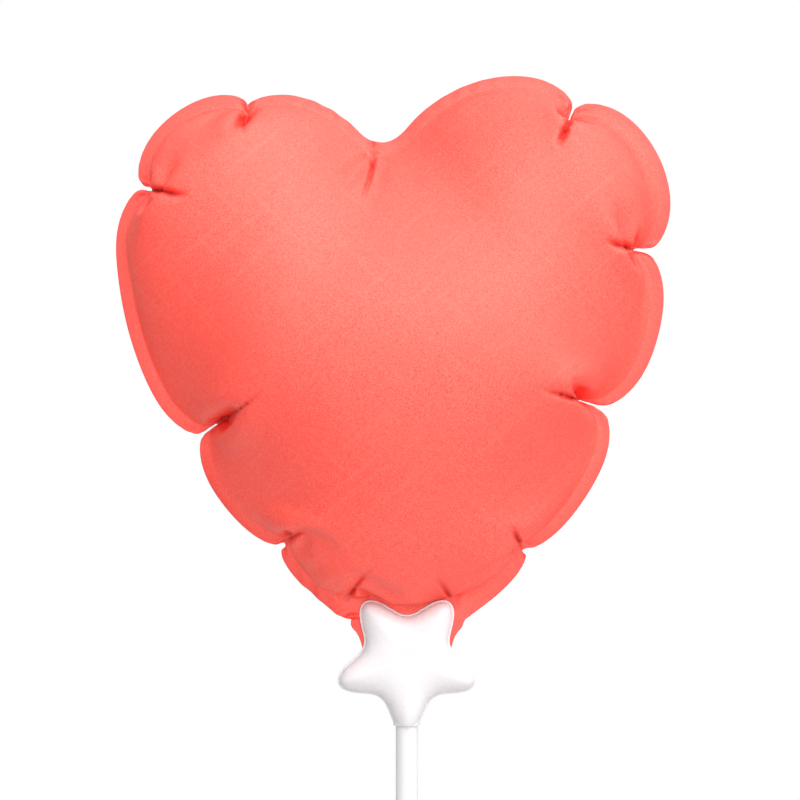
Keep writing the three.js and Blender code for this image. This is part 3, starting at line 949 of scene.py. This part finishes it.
def press_creases(points, folds):
    """The crease that runs on from each fold's tip, and a fainter one on either side of it.

    Gives back how far into a main crease each point lies: the weight for the painted crease shade.
    """
    crease_shade = np.zeros(len(points))
    for (_, _, tip, mouth, depth), settings in zip(folds, FOLDS):
        length = settings["crease"]
        world_tip, world_mouth = placed(np.array([tip, mouth]))
        heading = world_tip - world_mouth
        heading /= np.linalg.norm(heading)
        back = depth + SEAM_WIDTH
        if depth < 0:
            heading, world_tip, back = -heading, world_mouth, 0
        pressed = groove(points, world_tip, heading, length, back, CREASE_DEPTH, CREASE_WIDTH)
        crease_shade = np.maximum(crease_shade, pressed)
        for turn in (-FORK_SPREAD, FORK_SPREAD):
            c, s = math.cos(turn), math.sin(turn)
            fork = np.array([c * heading[0] - s * heading[1], s * heading[0] + c * heading[1]])
            groove(points, world_tip, fork, FORK_LENGTH * length, 0, FORK_DEPTH, FORK_WIDTH)
    return crease_shade


def balloon():
    """The filled balloon as one closed envelope, open only at the end of its neck."""
    pattern = flat_pattern(np.random.default_rng(SEED))
    folds = filled_seam(pattern)[2]
    x = fill(pattern)
    count, seam_start = pattern["count"], pattern["seam_start"]
    margin, panel = pattern["margin"], pattern["panel"]
    sheet = seam_start + count
    normal = np.zeros_like(x)
    face = np.cross(x[margin[:, 1]] - x[margin[:, 0]], x[margin[:, 2]] - x[margin[:, 0]])
    for corner in range(3):
        np.add.at(normal, margin[:, corner], face)
    normal = normal[:sheet] / np.linalg.norm(normal[:sheet], axis=1)[:, None]
    normal[:count] = 0
    front = x.copy()
    front[:sheet] += normal * WELD_HALF_THICKNESS
    back = x[count:].copy()
    back[: sheet - count] -= normal[count:] * WELD_HALF_THICKNESS
    back[sheet - count :, 1] *= -1
    behind = np.concatenate([margin, panel])[:, ::-1]
    behind = np.where(behind >= count, behind + len(front) - count, behind)
    faces = np.concatenate([margin, panel, behind])
    piece = mesh_piece("heart_balloon", np.concatenate([front, back]), faces)
    # A weight across the welded margin, for its deeper red: partly the double film, partly painted shade.
    share = np.minimum(distance_to_points(pattern["flat"], pattern["seam"]) / SEAM_WIDTH, 1)
    weld_and_shade = np.zeros(len(front) + len(back))
    weld_and_shade[:sheet] = share[:sheet]
    weld_and_shade[len(front) : len(front) + sheet - count] = share[count:sheet]
    attribute = piece.data.attributes.new("weld_and_shade", "FLOAT", "POINT")
    attribute.data.foreach_set("value", weld_and_shade)
    crease = piece.data.attributes.new("crease_edge", "FLOAT", "EDGE")
    on_seam = np.zeros(len(front) + len(back), bool)
    on_seam[seam_start:sheet] = True
    on_seam[len(front) + seam_start - count : len(front) + sheet - count] = True
    ends = np.zeros(2 * len(piece.data.edges), int)
    piece.data.edges.foreach_get("vertices", ends)
    crease.data.foreach_set("value", on_seam[ends.reshape(-1, 2)].all(1) * SEAM_SHARPNESS)
    subdivision = piece.modifiers.new("finer", "SUBSURF")
    subdivision.levels = subdivision.render_levels = SUBDIVISIONS
    apply_modifiers(piece)
    points = np.zeros(3 * len(piece.data.vertices))
    piece.data.vertices.foreach_get("co", points)
    points = points.reshape(-1, 3) / MM
    crease_shade = press_creases(points, folds)
    piece.data.attributes.new("crease_shade", "FLOAT", "POINT").data.foreach_set("value", crease_shade)
    piece.data.vertices.foreach_set("co", (points * MM).ravel())
    piece.data.shade_smooth()
    return piece


# --- materials ---------------------------------------------------


def material(name, colour, roughness):
    made = bpy.data.materials.new(name)
    made.use_nodes = True
    shader = made.node_tree.nodes["Principled BSDF"]
    tune(shader, Base_Color=(*colour, 1), Roughness=roughness)
    return made, made.node_tree, shader


def add_node(tree, kind, **values):
    made = tree.nodes.new("ShaderNode" + kind)
    for name, value in values.items():
        made.inputs[name.replace("_", " ")].default_value = value
    return made


def noise(tree, scale, detail=2.0, stretch=(1, 1, 1), turn=(0, 0, 0)):
    """Noise fixed to the object. scale is in waves per metre, stretch makes it longer along a turned axis."""
    place = add_node(tree, "TexCoord").outputs["Object"]
    mapping = add_node(tree, "Mapping", Rotation=turn, Scale=stretch)
    mapping.vector_type = "TEXTURE"
    tree.links.new(place, mapping.inputs["Vector"])
    made = add_node(tree, "TexNoise", Scale=scale, Detail=detail)
    tree.links.new(mapping.outputs["Vector"], made.inputs["Vector"])
    return made.outputs["Fac"]


def attribute(tree, name):
    made = tree.nodes.new("ShaderNodeAttribute")
    made.attribute_name = name
    return made.outputs["Fac"]


def tune(shader, **values):
    for name, value in values.items():
        shader.inputs[name.replace("_", " ")].default_value = value


def ramp(tree, source, low, high, start=0.0, end=1.0):
    made = add_node(tree, "MapRange")
    for name, value in (("From Min", start), ("From Max", end), ("To Min", low), ("To Max", high)):
        made.inputs[name].default_value = value
    tree.links.new(source, made.inputs["Value"])
    return made.outputs["Result"]


def mix(tree, factor, first, second):
    made = tree.nodes.new("ShaderNodeMix")
    made.data_type = "RGBA"
    tree.links.new(factor, made.inputs[0])
    for socket, colour in ((made.inputs[6], first), (made.inputs[7], second)):
        if isinstance(colour, tuple):
            socket.default_value = (*colour, 1)
        else:
            tree.links.new(colour, socket)
    return made.outputs[2]


def bump(tree, shader, *heights):
    """Chains height fields, each given with its depth in millimetres."""
    before = None
    for height, depth in heights:
        made = add_node(tree, "Bump", Strength=1.0, Distance=depth * MM)
        tree.links.new(height, made.inputs["Height"])
        if before is not None:
            tree.links.new(before, made.inputs["Normal"])
        before = made.outputs["Normal"]
    tree.links.new(before, shader.inputs["Normal"])


def film_material():
    """Matte printed film: fine grain, faint handling scratches on both diagonals, a denser weld, painted
    shade.
    """
    made, tree, shader = material("coral_film", (0.9, 0.045, 0.018), 0.5)
    grain = noise(tree, 4600, 1.5)
    cloud = noise(tree, 45, 3)
    colour = mix(tree, ramp(tree, grain, 0.0, 1.0, 0.4, 0.6), (0.96, 0.001, 0.001), (1.0, 0.09, 0.05))
    colour = mix(tree, ramp(tree, cloud, 0.0, 0.3, 0.35, 0.75), colour, (0.97, 0.045, 0.02))
    for lean, scale in ((0.78, 1500), (-0.7, 1300)):
        lines = noise(tree, scale, 1, stretch=(35, 35, 1), turn=(0, lean, 0))
        colour = mix(tree, ramp(tree, lines, 0.0, 0.06, 0.6, 0.76), colour, (0.97, 0.3, 0.24))
    # The weld is a deeper red, partly for its denser double film and partly as painted shade from the bulge
    # over it.
    colour = mix(tree, ramp(tree, attribute(tree, "weld_and_shade"), 0.0, 0.7), colour, (0.84, 0.004, 0.004))
    # Painted shade: the creases are coloured a darker red, standing in for the shade and trapped light in
    # them.
    crease_shade = ramp(tree, attribute(tree, "crease_shade"), 0.0, 0.85, 0.25, 0.9)
    colour = mix(tree, crease_shade, colour, (0.68, 0.0, 0.0))
    tree.links.new(colour, shader.inputs["Base Color"])
    tree.links.new(ramp(tree, grain, 0.55, 0.7), shader.inputs["Roughness"])
    tune(shader, Specular_IOR_Level=1.0, Specular_Tint=(1, 0.93, 0.75, 1))
    tune(shader, Coat_Weight=0.6, Coat_IOR=1.8, Coat_Roughness=0.62)
    bump(tree, shader, (grain, 0.02), (noise(tree, 420, 2), 0.03), (noise(tree, 120, 2), 0.05))
    return made


def clip_material():
    """Glossy white moulding with the faint waviness of thin plastic."""
    made, tree, shader = material("clip_plastic", (0.71, 0.682, 0.694), 0.24)
    flow = noise(tree, 160, 2)
    speck = noise(tree, 1500, 2)
    colour = mix(tree, ramp(tree, flow, 0.0, 1.0, 0.3, 0.7), (0.72, 0.692, 0.704), (0.7, 0.668, 0.684))
    tree.links.new(colour, shader.inputs["Base Color"])
    tree.links.new(ramp(tree, speck, 0.2, 0.3, 0.3, 0.7), shader.inputs["Roughness"])
    tune(shader, Subsurface_Weight=0.15, Subsurface_Radius=(1, 0.85, 0.85), Subsurface_Scale=0.001)
    bump(tree, shader, (flow, 0.03), (speck, 0.002))
    return made


def stick_material():
    """White drinking-straw plastic, drawn lengthwise by the extruder."""
    made, tree, shader = material("stick_plastic", (0.71, 0.69, 0.698), 0.36)
    drawn = noise(tree, 900, 2, stretch=(1, 1, 120))
    colour = mix(tree, ramp(tree, drawn, 0.0, 1.0, 0.3, 0.7), (0.72, 0.7, 0.708), (0.69, 0.665, 0.677))
    tree.links.new(colour, shader.inputs["Base Color"])
    tree.links.new(ramp(tree, drawn, 0.3, 0.44, 0.3, 0.7), shader.inputs["Roughness"])
    tune(shader, Subsurface_Weight=0.2, Subsurface_Scale=0.001)
    bump(tree, shader, (drawn, 0.012))
    return made


def valve_material():
    """Clear strip, milky where its two films cling."""
    made, tree, shader = material("valve_film", (0.93, 0.88, 0.87), 0.3)
    cling = noise(tree, 500, 2)
    colour = mix(tree, ramp(tree, cling, 0.0, 1.0, 0.35, 0.7), (0.94, 0.9, 0.89), (0.88, 0.8, 0.79))
    tree.links.new(colour, shader.inputs["Base Color"])
    tune(shader, Transmission_Weight=0.4)
    bump(tree, shader, (cling, 0.02))
    return made


def floor_material():
    made, tree, shader = material("pale_floor", (0.52, 0.52, 0.52), 0.7)
    paper = noise(tree, 60, 4)
    colour = mix(tree, paper, (0.6, 0.6, 0.6), (0.56, 0.56, 0.56))
    tree.links.new(colour, shader.inputs["Base Color"])
    bump(tree, shader, (paper, 0.1))
    return made


def backdrop_material():
    made, tree, shader = material("white_backdrop", (0, 0, 0), 1.0)
    tune(shader, Specular_IOR_Level=0, Emission_Color=(1, 1, 1, 1), Emission_Strength=1.0)
    return made


# --- stage, light and camera -------------------------------------

LIGHT_FROM = (0.36, -0.64, 0.68)
DIM_LIGHT = 0.4
FULL_LIGHT = 2.2
VIEW_DISTANCE = 1.0
VIEW_WIDTH = 0.152
VIEW_SIDE = -0.0013
VIEW_RISE = 0.0495
SENSOR = 36
NEAREST_SEEN = 0.05
RAMP_FROM = -0.15
FLOOR_LOW = (-0.26, -0.26, 0)
FLOOR_HIGH = (0.26, 0.4, 0)
BACKDROP_LOW = (-0.8, 3.2, -0.6)
BACKDROP_HIGH = (0.8, 3.2, 1.1)
KEY_SIDE = 0.55
KEY_FRONT = -0.85
KEY_ABOVE = 0.95
KEY_SIZE = (0.9, 0.8)
KEY_POWER = 4.2


def plane(name, low, high, look):
    """A flat rectangle for the stage, level or upright."""
    piece = bpy.data.objects.new(name, bpy.data.meshes.new(name))
    bpy.context.scene.collection.objects.link(piece)
    low, high = Vector(low), Vector(high)
    if low.z == high.z:
        corners = [low, (high.x, low.y, low.z), high, (low.x, high.y, low.z)]
    else:
        corners = [low, (high.x, high.y, low.z), high, (low.x, low.y, high.z)]
    piece.data.from_pydata([tuple(c) for c in corners], [], [(0, 1, 2, 3)])
    piece.data.materials.append(look)
    return piece


def soft_light(name, place, target, size, power):
    data = bpy.data.lights.new(name, "AREA")
    data.shape = "RECTANGLE"
    data.size, data.size_y = size
    data.energy = power
    light = bpy.data.objects.new(name, data)
    light.location = place
    light.rotation_euler = (Vector(target) - Vector(place)).to_track_quat("-Z", "Y").to_euler()
    bpy.context.scene.collection.objects.link(light)


def build_stage():
    plane("floor", FLOOR_LOW, FLOOR_HIGH, floor_material())
    plane("backdrop", BACKDROP_LOW, BACKDROP_HIGH, backdrop_material())
    bpy.context.scene.world = studio_light()
    middle = (0, 0, STAR_Z * MM + VIEW_RISE)
    soft_light("key", (KEY_SIDE, KEY_FRONT, middle[2] + KEY_ABOVE), middle, KEY_SIZE, KEY_POWER)


def studio_light():
    """Soft light all round that grows steadily towards the front and overhead."""
    world = bpy.data.worlds.new("studio")
    world.use_nodes = True
    tree = world.node_tree
    background = tree.nodes["Background"]
    background.inputs["Color"].default_value = (1, 1, 1, 1)
    towards = tree.nodes.new("ShaderNodeVectorMath")
    towards.operation = "DOT_PRODUCT"
    towards.inputs[1].default_value = Vector(LIGHT_FROM).normalized()
    tree.links.new(add_node(tree, "TexCoord").outputs["Generated"], towards.inputs[0])
    strength = ramp(tree, towards.outputs["Value"], DIM_LIGHT, FULL_LIGHT, RAMP_FROM, 1.0)
    tree.links.new(strength, background.inputs["Strength"])
    return world


def place_camera():
    data = bpy.data.cameras.new("camera")
    data.sensor_width = SENSOR
    data.lens = SENSOR * VIEW_DISTANCE / VIEW_WIDTH
    data.clip_start = NEAREST_SEEN
    camera = bpy.data.objects.new("camera", data)
    camera.location = (VIEW_SIDE, -VIEW_DISTANCE, STAR_Z * MM + VIEW_RISE)
    camera.rotation_euler = (math.pi / 2, 0, 0)
    bpy.context.scene.collection.objects.link(camera)
    bpy.context.scene.camera = camera


# --- the whole ---------------------------------------------------


def add_piece(piece, body, slot, look, *nodes):
    piece.data.materials.clear()
    piece.data.materials.append(look)
    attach(piece, body)
    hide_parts(*nodes)


place_camera()
build_stage()
clip_look = clip_material()
valve_look = valve_material()
film = balloon()
add_piece(film, "balloon", "coral_film", film_material(), "balloon_front_panel", "balloon_back_panel")
add_piece(clip_front(), "clip_front", "clip_plastic", clip_look, "star_clip_front")
add_piece(clip_rear(), "clip_rear", "clip_plastic", clip_look, "star_clip_rear")
add_piece(straw(), "stick", "stick_plastic", stick_material(), "stick")
for place, side in (("front", -1), ("back", 1)):
    strip = valve_strip("valve_" + place, side)
    add_piece(strip, "balloon", "valve_film", valve_look, "valve_film_" + place)

bpy.context.scene.view_settings.view_transform = "Standard"
